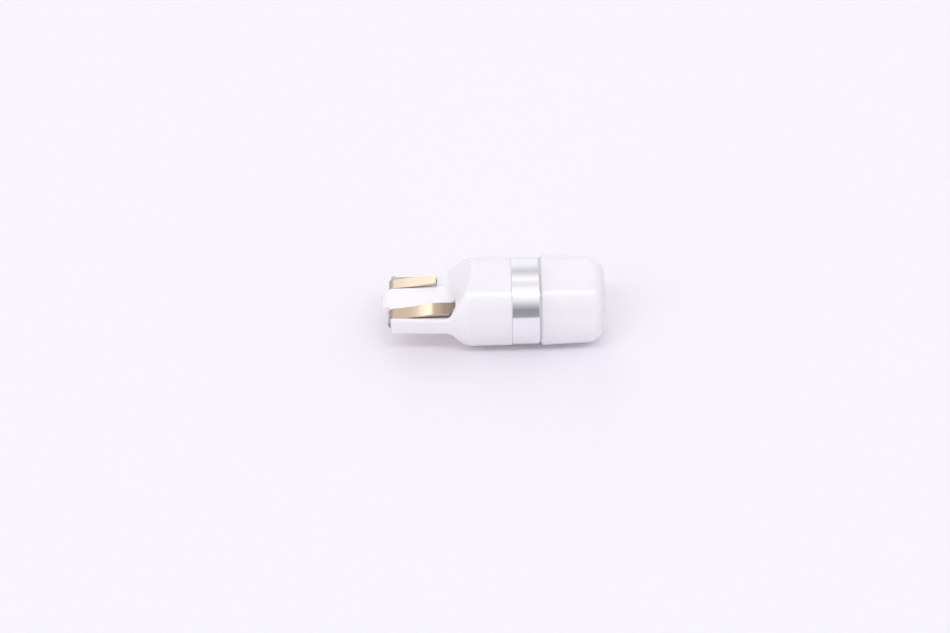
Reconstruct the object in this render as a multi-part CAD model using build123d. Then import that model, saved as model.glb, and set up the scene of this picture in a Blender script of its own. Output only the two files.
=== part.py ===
from build123d import *

import os
from math import atan2, cos, radians, sin, tan

# A small wedge base LED bulb, lying on its side as it rests on a table, in millimetres.
# X runs along the bulb from the blade's tip to the lens, Z is up and the blade lies flat.
# Every piece is drawn about the bulb's own axis, with X from the very tip of the tongue, and
# is then moved so that the row's origin is the middle of the underside of the whole bulb.

# Housing: blade, shoulders and round body in one moulding
BODY_R = 5.0  # round body
TONGUE_REACH = 0.86  # how far the tongue stands past the end of the blade
TONGUE_W = 3.1
TONGUE_T = 1.5
TONGUE_CORNER_R = 0.7
BLADE_L = 6.75  # from the blade's end to the foot of the shoulders
BLADE_T = 2.0
BLADE_R = 4.6  # the blade's flanks are round about the axis, at this radius at the shoulders
BLADE_TIP_R = 4.3  # and at this one at the tip
BLADE_CORNER_R = 1.1  # corners of the tip, seen from above
BLADE_NOSE_R = 0.45  # edges of the tip, seen from the side
TIP_MARGIN = 0.1  # the corners start this far outside the flanks
SHOULDER_ANGLE = 57.5  # degrees between the shoulder's plane and the axis
SHOULDER_FOOT_R = 0.9  # hollow where the blade meets the shoulder
SHOULDER_EDGE_R = 0.35  # rounded rim where the shoulder meets the round body
SWELL_START = 0.8  # past the foot of the shoulders the flanks swell from BLADE_R to BODY_R
SWELL_L = 1.5
SWELL_BLEND_R = 2.0
SWELL_BLEND_SHARE = 0.45  # the largest share of the swell that a blend may take
BODY_L = 7.05  # from the foot of the shoulders to the seam with the ring
BODY_RIM_CHAMFER = 0.1
WALL = 1.1  # wall of the body, and behind the shoulder's plane
SOCKET_WALL = 0.7  # round the ring's spigot
CAVITY_START = 1.35  # from the foot of the shoulders to the flat end of the cavity
RAIL_DEPTH = 0.35  # the driver board's rails are cut this deep into the bore

# Contact strips, stamped and bent
STRIP_T = 0.22
WRAP_GAP = 0.15  # the strip's outer face stands this far past the blade's end
WRAP_R = 0.72  # outer radius of the bend round the tip
LEG_RISE = 9.6  # degrees by which each leg spreads from the blade's middle plane
CREST_X = 6.3  # corner where the long leg levels out, from the tongue's tip
CREST_R = 7.0
ENTRY_Z = 1.3  # middle of the long leg where it comes into the body
STEP_L = 0.8  # inside, the neck comes down to the driver board over this length
STEP_R = 0.5
FREE_LEG_END = 6.1  # end of the short free leg, from the tongue's tip
STRIP_TIP_Y = 2.78  # middle of the strip at the tip, from the axis
STRIP_TIP_W = 1.82
STRIP_ROOT_Y = 2.85  # middle of the long leg at the foot of the shoulders
STRIP_ROOT_W = 2.05
FREE_END_Y = 2.4  # middle of the free leg's end
FREE_END_W = 1.2
TAIL_W = 1.4  # neck that goes through the body wall
TAIL_INSET = 1.35  # from the bore's wall to the middle of the neck
TAIL_L = 1.3  # length of the neck that lies on the driver board
GROOVE_CLEAR = 0.1  # beside the strips and past their ends
GROOVE_SEAT = 0.08  # under the bend round the tip
GROOVE_WEB_ROOT = 1.2  # plastic left between the grooves at the foot of the shoulders
NOTCH_L = 0.7  # the long groove is cut this far into the shoulder
SLOT_CLEAR = 0.05  # round the neck in the body wall

# Aluminium ring, turned, with a spigot in the body and a ledge for the LED board
RING_INSET = 0.05  # the ring lies this far inside the body's surface
RING_L = 3.15
RING_WALL = 0.6  # round the pocket on the lens side
RING_POCKET_DEPTH = 2.2
RING_FRONT_CHAMFER = 0.15
SPIGOT_WALL = 0.97
SPIGOT_L = 1.25
SPIGOT_CLEAR = 0.03

# Lens, a milky cap
LENS_STEP = 0.14  # the lens stands this far outside the ring
LENS_L = 7.59
LENS_DRAFT = 1.95  # degrees a side
LENS_CORNER_R = 2.0
LENS_CROWN = 0.25  # the end bulges this much
LENS_WALL = 0.95
LENS_RIM_CHAMFER = 0.3
SKIRT_CLEAR = 0.03
SKIRT_WALL = 0.62

# LED board and its packages
LED_BOARD_T = 1.0
LED_BOARD_CLEAR = 0.05
LED_W = 1.6
LED_H = 2.0
LED_T = 0.7
LED_PITCH_Y = 2.0
LED_PITCH_Z = 3.0
LED_WINDOW_DEPTH = 0.15
LED_WINDOW_RIM = 0.2

# Driver board, its parts and the pins to the LED board
DRIVER_T = 0.8
DRIVER_END_GAP = 0.1  # to the cavity's end, and to the spigot
RAIL_CLEAR = 0.05
PIN_SIDE = 0.5
PIN_INSET = 0.6  # from the ring's bore to the middle of a pin
PIN_ON_DRIVER = 1.4
PIN_PROUD = 0.3  # past the LED board's face
PIN_HOLE_CLEAR = 0.08
SOLDER_W = 1.0
SOLDER_H = 0.25
SOLDER_TAPER = 35  # degrees
TAIL_SOLDER_L = 0.35
TAIL_SOLDER_H = 0.2

# Parts on the driver board: place along it from its rear edge, place of the middle across it,
# length, width, height, and the face, 1 for the upper and -1 for the under one
DRIVER_PARTS = {
    "bridge_rectifier": (0.3, 0.3, 2.4, 2.6, 1.1, 1),
    "sense_resistor": (3.0, -0.6, 0.9, 1.6, 0.45, 1),
    "driver_ic": (0.5, -0.5, 1.6, 2.9, 1.0, -1),
    "filter_capacitor": (2.5, 0.55, 1.25, 2.0, 1.0, -1),
    "input_resistor": (2.5, -1.35, 0.9, 1.4, 0.45, -1),
}

# Places along the axis and radii that follow from the sizes above
BLADE_END = TONGUE_REACH
FOOT = BLADE_END + BLADE_L
SEAM = FOOT + BODY_L
RING_END = SEAM + RING_L
LENS_END = RING_END + LENS_L
FAR = LENS_END + BODY_R  # past everything, for cutting shapes
SPREAD = 1 / tan(radians(SHOULDER_ANGLE))  # X gained by the shoulder for each mm of height
BORE_R = BODY_R - WALL
SOCKET_R = BODY_R - SOCKET_WALL
SPIGOT_R = SOCKET_R - SPIGOT_CLEAR
RING_R = BODY_R - RING_INSET
RING_BORE_R = SPIGOT_R - SPIGOT_WALL
LENS_R = RING_R + LENS_STEP  # the widest circle of the whole bulb, which it rests on
CAVITY_END = FOOT + CAVITY_START
LEDGE = RING_END - RING_POCKET_DEPTH
POCKET_R = RING_R - RING_WALL
LED_FACE = LEDGE + LED_BOARD_T
SKIRT_R = POCKET_R - SKIRT_CLEAR
SPIGOT_END = SEAM - SPIGOT_L
DRIVER_X0 = CAVITY_END + DRIVER_END_GAP
DRIVER_X1 = SPIGOT_END - DRIVER_END_GAP
DRIVER_HALF_W = BORE_R + RAIL_DEPTH - RAIL_CLEAR
TAIL_Z = DRIVER_T / 2 + STRIP_T / 2  # middle of the strip where it lies on the board
TAIL_Y = BORE_R - TAIL_INSET
PIN_Y = RING_BORE_R - PIN_INSET
NOTCH_END = FOOT + NOTCH_L
WRAP_END = BLADE_END - WRAP_GAP  # outermost face of the strips
BEND_X = WRAP_END + WRAP_R  # middle of the bend round the tip
GROOVE_FLOOR_TIP = WRAP_R - STRIP_T - GROOVE_SEAT
STEP_START = DRIVER_X0 + DRIVER_END_GAP
TAIL_END = STEP_START + STEP_L + TAIL_L

PLACE = Location((-LENS_END / 2, 0, LENS_R))
HALF_TURN = Rotation(180, 0, 0)


def turned(outline):
    """Solid of revolution about the bulb's axis from a half outline in the XY plane."""
    return revolve(outline, Axis.X, 360)


def from_side(face):
    """Face drawn with X along the bulb and Y as height, stood up in the XZ plane."""
    return Plane.XZ * face


def through_y(face):
    """Side outline made into a prism that reaches past both flanks."""
    return extrude(from_side(face), FAR, both=True)


def through_z(face):
    """Plan outline made into a prism that reaches past both faces."""
    return extrude(face, FAR, both=True)


def corner_at(face, x, y):
    """The corner of a flat outline nearest to a point."""
    return face.vertices().sort_by_distance((x, y, 0))[0]


def mirrored_outline(points):
    """Face between a list of points above the X axis and their mirror image below it."""
    return make_face(Polyline(*points, *[(x, -y) for x, y in reversed(points)], close=True))


def flank_solid():
    """The moulding's plan form, round about the axis: blade flanks that swell into the body."""
    start = FOOT + SWELL_START
    end = start + SWELL_L
    turn = atan2(abs(BODY_R - BLADE_R), SWELL_L)
    blend_r = min(SWELL_BLEND_R, SWELL_BLEND_SHARE * SWELL_L / tan(turn / 2))
    outline = make_face(Polyline(
        (BLADE_END, 0), (BLADE_END, BLADE_TIP_R), (start, BLADE_R), (end, BODY_R),
        (SEAM - BODY_RIM_CHAMFER, BODY_R), (SEAM, BODY_R - BODY_RIM_CHAMFER), (SEAM, 0), close=True))
    for x, y in ((start, BLADE_R), (end, BODY_R)):
        outline = fillet(corner_at(outline, x, y), blend_r)
    return turned(outline)


def shoulder_prism():
    """The moulding's side form: flat blade, hollow foot and straight sloped shoulders."""
    half = BLADE_T / 2
    top = 2 * BODY_R
    top_x = FOOT + (top - half) * SPREAD
    face = mirrored_outline([(BLADE_END, half), (FOOT, half), (top_x, top), (FAR, top)])
    for side in (1, -1):
        face = fillet(corner_at(face, FOOT, side * half), SHOULDER_FOOT_R)
    return through_y(face)


def tip_outline(half, radius):
    """Outline that rounds the two corners of the blade's end and leaves the rest as it is."""
    past = BLADE_END + 2 * radius
    face = mirrored_outline([(BLADE_END, half), (past, half), (past, 2 * BODY_R), (FAR, 2 * BODY_R)])
    for side in (1, -1):
        face = fillet(corner_at(face, BLADE_END, side * half), radius)
    return face


def tongue():
    """Rounded tongue between the two strips, past the end of the blade."""
    root = BLADE_END + TONGUE_CORNER_R
    plan = mirrored_outline([(0, TONGUE_W / 2), (root, TONGUE_W / 2)])
    side = mirrored_outline([(0, TONGUE_T / 2), (root, TONGUE_T / 2)])
    for way in (1, -1):
        plan = fillet(corner_at(plan, 0, way * TONGUE_W / 2), TONGUE_CORNER_R)
        side = fillet(corner_at(side, 0, way * TONGUE_T / 2), TONGUE_T / 2 * 0.9)
    return through_z(plan) & through_y(side)


def cavity():
    """Hollow for the driver board: a bore whose end follows the shoulders at one wall."""
    setback = WALL / sin(radians(SHOULDER_ANGLE))
    half = BLADE_T / 2
    top = 2 * BODY_R
    start = FOOT + setback
    level = half + (CAVITY_END - start) / SPREAD
    side = mirrored_outline([
        (CAVITY_END, level), (start + (top - half) * SPREAD, top), (FAR, top)])
    bore = Pos(CAVITY_END, 0, 0) * along_axis(BORE_R, SEAM - CAVITY_END)
    socket = Pos(SPIGOT_END, 0, 0) * along_axis(SOCKET_R, SPIGOT_L)
    rail_w = 2 * (BORE_R + RAIL_DEPTH)
    rails = block(CAVITY_END, SPIGOT_END, rail_w, DRIVER_T + 2 * RAIL_CLEAR)
    return (bore & through_y(side)) + socket + rails


def along_axis(radius, length):
    """Cylinder along X, starting at X = 0."""
    return Rotation(0, 90, 0) * Cylinder(radius, length, align=(Align.CENTER, Align.CENTER, Align.MIN))


def block(x0, x1, width, height, y=0.0, z=0.0):
    """Box between two places along the axis, centred on y and z."""
    return Pos((x0 + x1) / 2, y, z) * Box(x1 - x0, width, height)


def strip_plan(stations, clear=0.0):
    """Plan through stations of (x, middle, width), with a clearance beside it and at its ends."""
    (first, *_), (last, *_) = stations[0], stations[-1]
    ends = {first: first - clear, last: last + clear}
    inner = [(ends.get(x, x), clear + width / 2 - middle) for x, middle, width in stations]
    outer = [(ends.get(x, x), -clear - width / 2 - middle) for x, middle, width in stations]
    return make_face(Polyline(*inner, *reversed(outer), close=True))


def long_leg_plan(clear=0.0):
    """Plan of the long leg, which narrows to the neck where it goes into the shoulder."""
    return strip_plan([
        (WRAP_END, STRIP_TIP_Y, STRIP_TIP_W), (FOOT, STRIP_ROOT_Y, STRIP_ROOT_W),
        (NOTCH_END - GROOVE_CLEAR, TAIL_Y, TAIL_W)], clear)


def free_leg_plan(clear=0.0):
    """Plan of the short free leg, which narrows to its end."""
    return strip_plan([
        (WRAP_END, STRIP_TIP_Y, STRIP_TIP_W), (FREE_LEG_END, FREE_END_Y, FREE_END_W)], clear)


def neck_plan(start, clear=0.0):
    """Plan of the neck from a place along the axis to its end on the driver board."""
    width = TAIL_W + 2 * clear
    return Pos((start + TAIL_END) / 2, -TAIL_Y) * Rectangle(TAIL_END - start, width)


def groove(plan):
    """Channel in the upper face of the blade, with a floor that rises towards the body."""
    side = make_face(Polyline(
        (BEND_X, GROOVE_FLOOR_TIP), (FOOT, GROOVE_WEB_ROOT / 2), (SEAM, GROOVE_WEB_ROOT / 2),
        (SEAM, 2 * BODY_R), (BEND_X, 2 * BODY_R), close=True))
    return through_z(plan) & through_y(side)


def strip_ways():
    """What the near strip needs cut in the moulding: two grooves, a gap at the tip and a slot."""
    upper = groove(long_leg_plan(GROOVE_CLEAR))
    under = mirror(groove(free_leg_plan(GROOVE_CLEAR)), Plane.XY)
    tip_gap = through_z(long_leg_plan(GROOVE_CLEAR)) & block(0, BEND_X, FAR, BLADE_T)
    band = through_y(trace(strip_line(), STRIP_T + 2 * SLOT_CLEAR))
    slot = band & extrude(neck_plan(FOOT, SLOT_CLEAR), BODY_R)
    return upper + under + tip_gap + slot


def rib_reliefs():
    """What comes off the rib between the grooves, which is as thin as the tongue at the tip."""
    rib_w = 2 * STRIP_TIP_Y - STRIP_TIP_W
    wedge = make_face(Polyline(
        (BLADE_END, TONGUE_T / 2), (FOOT, BLADE_T / 2), (BLADE_END, BLADE_T / 2), close=True))
    upper = extrude(from_side(wedge), rib_w / 2, both=True)
    return upper + mirror(upper, Plane.XY)


def housing():
    """One white moulding, hollow towards the ring."""
    outer = flank_solid() & shoulder_prism()
    rims = outer.edges().filter_by(lambda e: is_shoulder_rim(e))
    outer = fillet(rims, SHOULDER_EDGE_R)
    outer &= through_z(tip_outline(BLADE_TIP_R + TIP_MARGIN, BLADE_CORNER_R))
    outer &= through_y(tip_outline(BLADE_T / 2, BLADE_NOSE_R))
    ways = strip_ways()
    return outer - rib_reliefs() + tongue() - cavity() - ways - HALF_TURN * ways


def is_shoulder_rim(edge):
    """True for the curved edges where a shoulder's plane cuts the round body."""
    middle = edge @ 0.5
    return middle.X > FOOT + SHOULDER_FOOT_R and middle.X < SEAM - 1 and abs(middle.Z) > BODY_R / 2


def strip_line():
    """Middle line of the bent strip in side view, from the free end to the tail."""
    mid_r = WRAP_R - STRIP_T / 2
    turn = radians(LEG_RISE)
    lift = mid_r * cos(turn)
    leave_x = BEND_X - mid_r * sin(turn)
    crest_z = lift + (CREST_X - leave_x) * tan(turn)
    free_z = lift + (FREE_LEG_END - leave_x) * tan(turn)
    wrap = ThreePointArc((leave_x, -lift), (BEND_X - mid_r, 0), (leave_x, lift))
    free = Line((FREE_LEG_END, -free_z), (leave_x, -lift))
    upper = FilletPolyline(
        (leave_x, lift), (CREST_X, crest_z), (STEP_START, ENTRY_Z),
        (STEP_START + STEP_L, TAIL_Z), (TAIL_END, TAIL_Z), radius=[CREST_R, STEP_R, STEP_R])
    return Wire([free, wrap, *upper.edges()])


def near_contact_spring():
    """Strip with its long leg on the upper face, on the near side of the axis."""
    band = through_y(trace(strip_line(), STRIP_T))
    upper = band & extrude(long_leg_plan() + neck_plan(NOTCH_END - GROOVE_CLEAR), BODY_R)
    lower = band & extrude(free_leg_plan(), -BODY_R)
    return upper + lower


def heat_sink_ring():
    """Turned aluminium ring: band, spigot into the body, and pocket for board and lens."""
    outline = make_face(Polyline(
        (SPIGOT_END, RING_BORE_R), (SPIGOT_END, SPIGOT_R), (SEAM, SPIGOT_R),
        (SEAM, RING_R), (RING_END, RING_R), (RING_END, POCKET_R), (LEDGE, POCKET_R),
        (LEDGE, RING_BORE_R), close=True))
    outline = chamfer(corner_at(outline, RING_END, RING_R), RING_FRONT_CHAMFER)
    return turned(outline)


def drafted(x, radius):
    """Radius of a lens wall at a place along the axis, given its radius at the ring."""
    return radius - (x - RING_END) * tan(radians(LENS_DRAFT))


def lens_outside():
    """Half outline of the cap: chamfered rim, drafted side, rounded corner and bulged end."""
    flat_x = LENS_END - LENS_CROWN
    end_r = drafted(flat_x, LENS_R)
    outline = make_face(Polyline(
        (RING_END, 0), (RING_END, LENS_R), (flat_x, end_r), (flat_x, 0), close=True))
    outline = fillet(corner_at(outline, flat_x, end_r), LENS_CORNER_R)
    outline = chamfer(corner_at(outline, RING_END, LENS_R), LENS_RIM_CHAMFER)
    flat_r = end_r - LENS_CORNER_R
    bulge = make_face([
        *ThreePointArc((flat_x, -flat_r), (LENS_END, 0), (flat_x, flat_r)).edges(),
        *Line((flat_x, flat_r), (flat_x, -flat_r)).edges()])
    return outline + split(bulge, Plane.XZ, keep=Keep.TOP)


def lens_inside():
    """Half outline of the cap's hollow, from its open end on the LED board."""
    radius = SKIRT_R - SKIRT_WALL
    deep_x = LENS_END - LENS_WALL
    deep_r = drafted(deep_x, radius)
    return make_face(Polyline(
        (LED_FACE, 0), (LED_FACE, radius), (RING_END, radius), (deep_x, deep_r), (deep_x, 0), close=True))


def lens():
    """Milky cap, hollow, with a skirt that holds the LED board on its ledge."""
    skirt = Pos(LED_FACE, 0, 0) * along_axis(SKIRT_R, RING_END - LED_FACE)
    return turned(lens_outside()) + skirt - turned(lens_inside())


def led_board():
    """Round board on the ring's ledge, with a hole for each pin."""
    disc = Pos(LEDGE, 0, 0) * along_axis(POCKET_R - LED_BOARD_CLEAR, LED_BOARD_T)
    hole_side = PIN_SIDE + 2 * PIN_HOLE_CLEAR
    for side in (1, -1):
        disc -= block(LEDGE, LED_FACE, hole_side, hole_side, side * PIN_Y, side * pin_z())
    return disc


def led_chip(side_y, side_z):
    """One package, with a shallow window that holds the phosphor."""
    y = side_y * LED_PITCH_Y / 2
    z = side_z * LED_PITCH_Z / 2
    body = block(LED_FACE, LED_FACE + LED_T, LED_W, LED_H, y, z)
    window = block(
        LED_FACE + LED_T - LED_WINDOW_DEPTH, LED_FACE + LED_T,
        LED_W - 2 * LED_WINDOW_RIM, LED_H - 2 * LED_WINDOW_RIM, y, z)
    return body - window


def driver_board():
    """Flat board between the rails, level with the bulb's axis."""
    return block(DRIVER_X0, DRIVER_X1, 2 * DRIVER_HALF_W, DRIVER_T)


def pin_z():
    """Middle of a pin that lies on the upper face of the driver board."""
    return DRIVER_T / 2 + PIN_SIDE / 2


def board_pin(side):
    """Square pin from one face of the driver board through the LED board."""
    x0 = DRIVER_X1 - PIN_ON_DRIVER
    return block(x0, LED_FACE + PIN_PROUD, PIN_SIDE, PIN_SIDE, side * PIN_Y, side * pin_z())


def on_board(x, y, length, width, height, side):
    """Small part seated on one face of the driver board, measured from its rear edge."""
    x0 = DRIVER_X0 + x
    return block(x0, x0 + length, width, height, y, side * (DRIVER_T + height) / 2)


def solder_joints():
    """Solder at both tails, at both pins on the driver board and round their ends."""
    joints = []
    for side in (1, -1):
        tail = Pos(TAIL_END, -side * TAIL_Y, 0)
        fillet_side = from_side(make_face(Polyline(
            (0, side * DRIVER_T / 2), (TAIL_SOLDER_L, side * DRIVER_T / 2),
            (0, side * (DRIVER_T / 2 + TAIL_SOLDER_H)), close=True)))
        joints.append(tail * extrude(fillet_side, TAIL_W / 2, both=True))
        rear = Pos(DRIVER_X1 - PIN_ON_DRIVER, side * PIN_Y, 0) * Rotation(0, 0, 180)
        joints.append(rear * extrude(fillet_side, PIN_SIDE / 2, both=True))
        mound = extrude(Plane.YZ * Rectangle(SOLDER_W, SOLDER_W), SOLDER_H, taper=SOLDER_TAPER)
        joints.append(Pos(LED_FACE, side * PIN_Y, side * pin_z()) * mound - board_pin(side))
    return Compound(joints)


def pieces():
    """Every sub-part by name, drawn about the bulb's axis."""
    near = near_contact_spring()
    made = {
        "housing": housing(),
        "contact_spring_near": near,
        "contact_spring_far": HALF_TURN * near,
        "heat_sink_ring": heat_sink_ring(),
        "lens": lens(),
        "led_board": led_board(),
        "driver_board": driver_board(),
        "board_pin_plus": board_pin(1),
        "board_pin_minus": board_pin(-1),
        "solder_joints": solder_joints(),
    }
    for name, sizes in DRIVER_PARTS.items():
        made[name] = on_board(*sizes)
    corners = [(1, 1), (-1, 1), (-1, -1), (1, -1)]
    for number, (side_y, side_z) in enumerate(corners, start=1):
        made[f"led_chip_{number}"] = led_chip(side_y, side_z)
    return made


os.makedirs("parts", exist_ok=True)
for name, piece in pieces().items():
    export_step(PLACE * piece, f"parts/{name}.step")
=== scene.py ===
from collections import namedtuple
from math import cos, radians, sin

import bpy
from mathutils import Matrix, Vector


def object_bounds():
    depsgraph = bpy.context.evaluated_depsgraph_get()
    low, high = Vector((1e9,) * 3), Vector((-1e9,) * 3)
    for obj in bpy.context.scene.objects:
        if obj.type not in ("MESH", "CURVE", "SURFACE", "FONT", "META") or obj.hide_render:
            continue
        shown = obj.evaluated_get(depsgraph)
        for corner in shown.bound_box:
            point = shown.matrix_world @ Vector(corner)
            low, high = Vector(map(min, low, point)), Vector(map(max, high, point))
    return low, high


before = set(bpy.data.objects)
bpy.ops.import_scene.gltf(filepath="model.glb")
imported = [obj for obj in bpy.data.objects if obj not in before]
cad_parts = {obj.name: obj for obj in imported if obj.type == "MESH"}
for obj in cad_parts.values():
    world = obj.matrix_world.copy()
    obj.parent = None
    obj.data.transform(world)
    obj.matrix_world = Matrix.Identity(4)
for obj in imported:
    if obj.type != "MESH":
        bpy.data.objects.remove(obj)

# The bulb lies on a pale table, seen from 40 degrees above, square to its axis.
# Everything is in metres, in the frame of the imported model: +X along the bulb, +Z up.

MM = 0.001
cad_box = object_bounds()

# Camera, from the photograph's frame
PHOTO_W = 950
PHOTO_H = 633
PX_PER_MM = 8.82  # scale of the photograph at the bulb's axis
AXIS_MIDDLE_PX = (494.3, 301.3)  # where the middle of the bulb's axis lies in it
AXIS_TILT = 1.4  # degrees by which the axis rises to the right in the picture
ELEVATION = 40
LENS_MM = 84.7
SENSOR_MM = 36
NEAREST_SEEN = 0.01

# Table
TABLE_R = 1.2
TABLE_FRONT = 0.062  # from the bulb to its front edge, which the ring reflects
TABLE_CORNERS = 96
TABLE_COLOR = (0.855, 0.832, 0.872)
BACKGROUND_COLOR = (0.948, 0.908, 0.982)  # past the table's edge, as pale as the table looks

# The room, as light from each height angle: degrees from the front horizon over the top to the
# back horizon, and its strength there
BACK_HORIZON = 180
ROOM = [
    (0, 0.37), (9.5, 0.33), (15, 0.34), (18, 0.39), (28, 0.61), (33, 0.77), (39, 0.92),
    (49, 1.04), (75, 1.05), (78, 0.92), (89, 0.93), (94, 1.13), (101, 1.13), (107, 1.0),
    (112, 0.86), (118, 0.74), (125, 0.66), (132, 0.75), (140, 0.89), (149, 0.99), (160, 1.03),
]
# The same room from its left wall at -1 to its right one at 1, as a share of that strength
SIDES = [(-1.0, 0.70), (-0.2, 0.68), (-0.1, 1.0), (0.1, 1.0), (0.2, 0.76), (1.0, 0.77)]
ROOM_TINT = (0.985, 0.975, 1.0)
DARK_TINT = (0.97, 0.955, 1.06)  # of what is dark in the room
TINT_LEVELS = (0.5, 0.9)  # strengths at which the dark tint ends and the room's own begins

# Lamps and cards in the room: the height angles and the left and right ends between which each
# has its full strength, and how softly it fades out past them
Card = namedtuple("Card", "low high left right soft_height soft_side strength")
CARDS = [
    # soft fills on both sides of the camera
    Card(6, 75, -0.96, -0.36, soft_height=6, soft_side=0.08, strength=1.2),
    Card(6, 75, 0.48, 0.96, soft_height=6, soft_side=0.08, strength=0.92),
    # long lamp, the bright line on the body and the lens
    Card(55.2, 60.2, -0.52, 0.52, soft_height=1, soft_side=0.12, strength=8.8),
    # what the contact strips reflect: pale card, lamp in the middle of it, and grey card
    Card(120, 165, -0.40, -0.07, soft_height=6, soft_side=0.015, strength=1.07),
    Card(120, 165, -0.165, -0.065, soft_height=6, soft_side=0.03, strength=2.4),
    Card(115, 170, 0.195, 0.45, soft_height=6, soft_side=0.06, strength=0.62),
    # pale cards behind the bulb, to its left and right
    Card(112, 172, -0.92, -0.42, soft_height=6, soft_side=0.05, strength=0.92),
    Card(112, 172, 0.52, 0.92, soft_height=6, soft_side=0.05, strength=0.8),
]

# Painted shade on the contact strips, in mm along the bulb from its middle, and the dark tone painted
# there: beside the shoulder, and in the bend round the tip
PAINTED_SHADE_PLACES = [((-5.3, -4.3), (0.38, 0.30, 0.24)), ((-11.35, -11.75), (0.40, 0.32, 0.27))]
# The legs of the strips catch the light as if bowed: this much, in 1/mm, with their crests at
# these places in mm
BOW = 0.0197
NEAR_CREST = -9.5
FAR_CREST = -6.5
BOARD_PINS = ("board_pin_plus", "board_pin_minus")

# Noise values between which a finish goes from its lowest to its highest roughness
NOISE_RANGE = (0.3, 0.7)
BEVEL_SAMPLES = 6


def nodes_of(tree):
    """Empties a node tree and returns a function that adds a node with its settings."""
    tree.nodes.clear()

    def add(kind, inputs=None, **settings):
        node = tree.nodes.new(kind)
        for name, value in settings.items():
            setattr(node, name, value)
        for name, value in (inputs or {}).items():
            if isinstance(value, bpy.types.NodeSocket):
                tree.links.new(value, node.inputs[name])
            else:
                node.inputs[name].default_value = value
        return node

    return add


def link(output, socket):
    """Joins two sockets of one tree."""
    socket.id_data.links.new(output, socket)


def rgba(color):
    """A colour with full alpha."""
    return (*color, 1.0)


def calculated(add, operation, *values):
    """Result of one math operation."""
    return add("ShaderNodeMath", dict(enumerate(values)), operation=operation).outputs[0]


def remapped(add, value, low, high, to_low=0.0, to_high=1.0):
    """Value moved from one range to another, and held inside it."""
    values = (value, low, high, to_low, to_high)
    return add("ShaderNodeMapRange", dict(enumerate(values))).outputs[0]


def mixed_colors(add, share, first, second):
    """Colour that goes from the first to the second as the share goes from 0 to 1."""
    return add("ShaderNodeMix", {0: share, 6: first, 7: second}, data_type="RGBA").outputs[2]


def ramp(add, value, stops):
    """Grey that follows a value through stops of place, from 0 to 1, and level."""
    node = add("ShaderNodeValToRGB", {0: value})
    elements = node.color_ramp.elements
    while len(elements) > 1:
        elements.remove(elements[-1])
    for number, (place, level) in enumerate(stops):
        element = elements[0] if number == 0 else elements.new(place)
        element.position = place
        element.color = rgba([level] * 3)
    return node.outputs[0]


def window(add, value, low, high, soft):
    """Mask that is 1 from low to high and fades out over the softness."""
    rise = remapped(add, value, low - soft, low)
    fall = remapped(add, value, high, high + soft, to_low=1.0, to_high=0.0)
    return calculated(add, "MULTIPLY", rise, fall)


def room_level(add, height, side):
    """Strength of the room's light at a height angle and a place from left to right."""
    # a ramp's greys end at 1, so the room's levels are shares of the strongest one in it
    strongest = max(strength for _, strength in ROOM)
    share = calculated(add, "DIVIDE", height, BACK_HORIZON)
    over = ramp(add, share, [(degrees / BACK_HORIZON, level / strongest) for degrees, level in ROOM])
    across = ramp(add, remapped(add, side, -1.0, 1.0), [((place + 1) / 2, level) for place, level in SIDES])
    level = calculated(add, "MULTIPLY", calculated(add, "MULTIPLY", over, across), strongest)
    for card in CARDS:
        tall = window(add, height, card.low, card.high, card.soft_height)
        wide = window(add, side, card.left, card.right, card.soft_side)
        mask = calculated(add, "MULTIPLY", tall, wide)
        level = add("ShaderNodeMix", {0: mask, 2: level, 3: card.strength}).outputs[0]
    return level


def studio_room():
    """World light with long lamps and cards in it, which the camera sees as a plain background."""
    world = bpy.data.worlds.new("studio")
    bpy.context.scene.world = world
    world.use_nodes = True
    add = nodes_of(world.node_tree)
    place = add("ShaderNodeTexCoord").outputs["Generated"]
    axes = add("ShaderNodeSeparateXYZ", {0: place}).outputs
    front = calculated(add, "MULTIPLY", axes["Y"], -1.0)
    height = calculated(add, "DEGREES", calculated(add, "ARCTAN2", axes["Z"], front))
    level = room_level(add, height, axes["X"])
    light = remapped(add, level, *TINT_LEVELS)
    tint = mixed_colors(add, light, rgba(DARK_TINT), rgba(ROOM_TINT))
    lit = add("ShaderNodeBackground", {0: tint, 1: level}).outputs[0]
    seen = add("ShaderNodeBackground", {0: rgba(BACKGROUND_COLOR), 1: 1.0}).outputs[0]
    to_camera = add("ShaderNodeLightPath").outputs["Is Camera Ray"]
    both = add("ShaderNodeMixShader", {0: to_camera, 1: lit, 2: seen}).outputs[0]
    add("ShaderNodeOutputWorld", {0: both})


def table():
    """Plain pale table, which ends a little in front of what the photograph shows."""
    middle = (0, TABLE_R - TABLE_FRONT, 0)
    bpy.ops.mesh.primitive_circle_add(
        vertices=TABLE_CORNERS, radius=TABLE_R, fill_type="NGON", location=middle)
    top = bpy.context.object
    top.name = "table"
    material = bpy.data.materials.new("table_white")
    material.use_nodes = True
    add = nodes_of(material.node_tree)
    diffuse = add("ShaderNodeBsdfDiffuse", {0: rgba(TABLE_COLOR)})
    add("ShaderNodeOutputMaterial", {0: diffuse.outputs[0]})
    top.data.materials.append(material)


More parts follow.
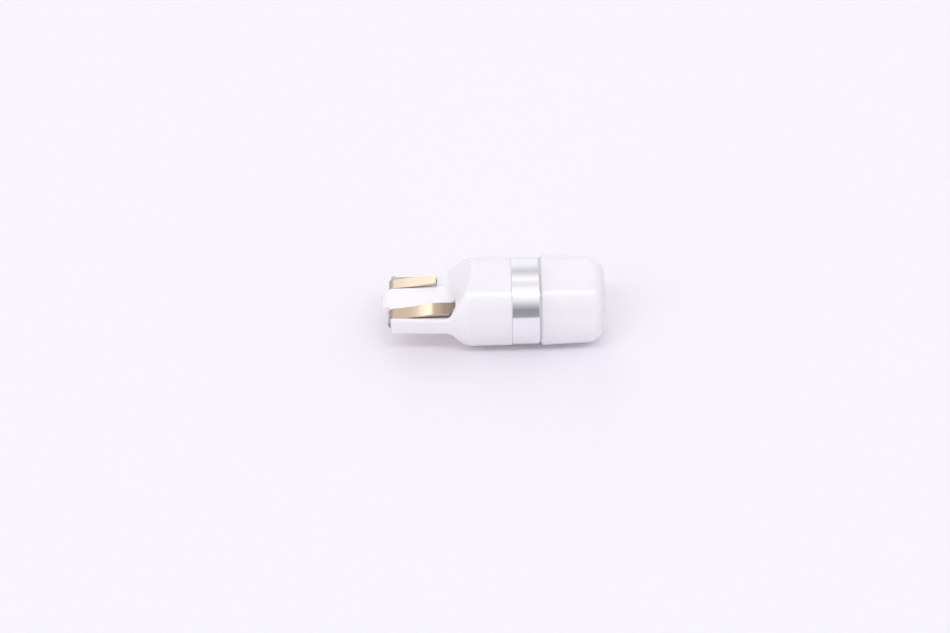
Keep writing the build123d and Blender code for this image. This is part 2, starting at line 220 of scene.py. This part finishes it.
def camera():
    """Camera at the photograph's angle, with the bulb where the photograph has it."""
    data = bpy.data.cameras.new("camera")
    data.lens = LENS_MM
    data.sensor_width = SENSOR_MM
    data.clip_start = NEAREST_SEEN
    tilt = radians(ELEVATION)
    toward = Vector((0, -cos(tilt), sin(tilt)))
    along = Vector((1, 0, 0))
    across = Vector((0, sin(tilt), cos(tilt)))
    roll = radians(AXIS_TILT)
    right = along * cos(roll) - across * sin(roll)
    up = along * sin(roll) + across * cos(roll)
    low, high = cad_box
    middle = (low + high) / 2
    off_x = (PHOTO_W / 2 - AXIS_MIDDLE_PX[0]) / PX_PER_MM * MM
    off_y = (AXIS_MIDDLE_PX[1] - PHOTO_H / 2) / PX_PER_MM * MM
    aim = middle + right * off_x + up * off_y
    distance = LENS_MM / SENSOR_MM * PHOTO_W / PX_PER_MM * MM
    turn = Matrix((right, up, toward)).transposed().to_4x4()
    seat = bpy.data.objects.new("camera", data)
    seat.matrix_world = Matrix.Translation(aim + toward * distance) @ turn
    bpy.context.scene.collection.objects.link(seat)
    bpy.context.scene.camera = seat


def new_material(name):
    """Node material, with the adder of its nodes and its principled shader."""
    material = bpy.data.materials.new(name)
    material.use_nodes = True
    add = nodes_of(material.node_tree)
    shader = add("ShaderNodeBsdfPrincipled")
    add("ShaderNodeOutputMaterial", {0: shader.outputs[0]})
    return material, add, shader


def noise(add, waves, detail=4.0, stretch=(1, 1, 1)):
    """Noise in the object's own space, with so many waves to a millimetre."""
    place = add("ShaderNodeTexCoord").outputs["Object"]
    scaled = add("ShaderNodeMapping", {0: place, 3: [s / MM for s in stretch]}).outputs[0]
    return add("ShaderNodeTexNoise", {"Vector": scaled, "Scale": waves, "Detail": detail}).outputs["Fac"]


def varied(add, value, low_color, high_color):
    """Colour that drifts between two others with a value."""
    return mixed_colors(add, value, rgba(low_color), rgba(high_color))


def spread(add, value, low, high):
    """Number between low and high that follows a noise."""
    return remapped(add, value, *NOISE_RANGE, to_low=low, to_high=high)


def bevelled(add, radius_mm):
    """Normal with the sharp edges rounded."""
    return add("ShaderNodeBevel", {0: radius_mm * MM}, samples=BEVEL_SAMPLES).outputs[0]


def bumped(add, height, depth_mm, normal=None):
    """Normal with a bump on top, over another normal or over the surface's own."""
    inputs = {"Strength": 1.0, "Distance": depth_mm * MM, "Height": height}
    if normal is not None:
        inputs["Normal"] = normal
    return add("ShaderNodeBump", inputs).outputs[0]


def white_plastic(name, low_color, high_color, edge_mm=None):
    """Glossy white plastic with a faint drift in tone and a very slight ripple."""
    material, add, shader = new_material(name)
    link(varied(add, noise(add, waves=0.35), low_color, high_color), shader.inputs["Base Color"])
    link(spread(add, noise(add, waves=1.6), low=0.16, high=0.24), shader.inputs["Roughness"])
    edges = bevelled(add, edge_mm) if edge_mm else None
    ripple = bumped(add, noise(add, waves=0.8), depth_mm=0.004, normal=edges)
    link(ripple, shader.inputs["Normal"])
    return material, shader


def white_moulding():
    """The housing's plastic."""
    material, _ = white_plastic(
        "white_moulding", (0.825, 0.804, 0.834), (0.85, 0.829, 0.859), edge_mm=0.12)
    return material


def milky_cap():
    """The lens's plastic, which lets some light wander inside it."""
    material, shader = white_plastic("milky_cap", (0.902, 0.878, 0.915), (0.912, 0.888, 0.925))
    shader.inputs["Subsurface Weight"].default_value = 1.0
    shader.inputs["Subsurface Radius"].default_value = (0.85, 1.0, 0.85)
    shader.inputs["Subsurface Scale"].default_value = 2.5 * MM
    return material


def pale_gold(name, crest, low_color, high_color):
    """Bright plated strip with rolling marks along it, and shade painted into its colour at the shoulder
    and round the tip.
    """
    material, add, shader = new_material(name)
    marks = noise(add, waves=1.0, detail=4.0, stretch=(0.25, 6.0, 6.0))
    place = add("ShaderNodeTexCoord").outputs["Object"]
    along = add("ShaderNodeSeparateXYZ", {0: place}).outputs["X"]
    tone = varied(add, marks, low_color, high_color)
    # painted shade: the colour darkened beside the shoulder and round the tip's bend
    for (start, end), painted_shade_color in PAINTED_SHADE_PLACES:
        painted_shade_share = remapped(add, along, start * MM, end * MM)
        tone = mixed_colors(add, painted_shade_share, tone, rgba(painted_shade_color))
    link(tone, shader.inputs["Base Color"])
    link(spread(add, marks, low=0.12, high=0.20), shader.inputs["Roughness"])
    from_crest = calculated(add, "MULTIPLY_ADD", along, 1 / MM, -crest)
    squared = calculated(add, "MULTIPLY", from_crest, from_crest)
    bow = calculated(add, "MULTIPLY", squared, -BOW)
    rolled = bumped(add, marks, depth_mm=0.001, normal=bevelled(add, radius_mm=0.05))
    link(bumped(add, bow, depth_mm=1.0, normal=rolled), shader.inputs["Normal"])
    shader.inputs["Metallic"].default_value = 1.0
    return material


def grained(name, low_color, high_color, roughness, edge_mm, depth_mm, metallic=0.0, **grain_form):
    """Material whose tone, roughness and bump all follow one noise, of the given form."""
    material, add, shader = new_material(name)
    grain = noise(add, **grain_form)
    link(varied(add, grain, low_color, high_color), shader.inputs["Base Color"])
    link(spread(add, grain, *roughness), shader.inputs["Roughness"])
    link(bumped(add, grain, depth_mm, bevelled(add, edge_mm)), shader.inputs["Normal"])
    shader.inputs["Metallic"].default_value = metallic
    return material


def turned_aluminium():
    """Polished aluminium with fine turning marks round the axis."""
    return grained(
        "turned_aluminium", (0.885, 0.88, 0.90), (0.915, 0.91, 0.925), roughness=(0.11, 0.16),
        edge_mm=0.06, depth_mm=0.0006, metallic=1.0, waves=1.0, detail=3.0, stretch=(22.0, 0.12, 0.12))


def black_package():
    """Moulded black epoxy, finely grained."""
    return grained(
        "black_package", (0.025, 0.025, 0.027), (0.05, 0.05, 0.052), roughness=(0.45, 0.65),
        edge_mm=0.05, depth_mm=0.006, waves=9.0, detail=6.0)


def tan_ceramic():
    """Capacitor body, fired ceramic."""
    return grained(
        "tan_ceramic", (0.48, 0.35, 0.22), (0.60, 0.46, 0.31), roughness=(0.3, 0.45),
        edge_mm=0.06, depth_mm=0.004, waves=6.0, detail=5.0)


def phosphor():
    """Light emitter's package, in the yellow of its phosphor."""
    return grained(
        "phosphor", (0.88, 0.74, 0.22), (0.92, 0.82, 0.34), roughness=(0.4, 0.6),
        edge_mm=0.04, depth_mm=0.004, waves=5.0, detail=5.0)


def solder():
    """Bright tin."""
    return grained(
        "tin", (0.74, 0.75, 0.77), (0.84, 0.85, 0.87), roughness=(0.18, 0.35),
        edge_mm=0.05, depth_mm=0.01, metallic=1.0, waves=3.0, detail=4.0)


def board(name, low_color, high_color):
    """Solder mask over copper, slightly uneven."""
    material, add, shader = new_material(name)
    link(varied(add, noise(add, waves=0.9), low_color, high_color), shader.inputs["Base Color"])
    link(spread(add, noise(add, waves=3.0), low=0.35, high=0.5), shader.inputs["Roughness"])
    uneven = bumped(add, noise(add, waves=4.0), depth_mm=0.003, normal=bevelled(add, radius_mm=0.04))
    link(uneven, shader.inputs["Normal"])
    return material


def dress(material, *names):
    """Gives CAD nodes a material."""
    for name in names:
        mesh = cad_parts[name].data
        mesh.materials.clear()
        mesh.materials.append(material)


def dress_all():
    """A finish for every piece."""
    # the near strip is a darker copy of the same gold: painted shade for the dimmer light it reflects
    gold_near_painted_darker = pale_gold("gold_near_painted_darker", NEAR_CREST, (0.56, 0.43, 0.325), (0.63, 0.49, 0.375))
    gold_far = pale_gold("gold_far", FAR_CREST, (0.93, 0.79, 0.62), (0.97, 0.83, 0.66))
    dress(white_moulding(), "housing")
    dress(milky_cap(), "lens")
    dress(turned_aluminium(), "heat_sink_ring")
    dress(gold_near_painted_darker, "contact_spring_near")
    dress(gold_far, "contact_spring_far", *BOARD_PINS)
    dress(board("white_mask", (0.84, 0.84, 0.81), (0.89, 0.89, 0.87)), "led_board")
    dress(board("green_mask", (0.03, 0.20, 0.07), (0.05, 0.30, 0.11)), "driver_board")
    dress(black_package(), "bridge_rectifier", "driver_ic", "sense_resistor", "input_resistor")
    dress(tan_ceramic(), "filter_capacitor")
    dress(phosphor(), *[f"led_chip_{number}" for number in range(1, 5)])
    dress(solder(), "solder_joints")


studio_room()
table()
camera()
dress_all()
bpy.context.scene.view_settings.view_transform = "Standard"
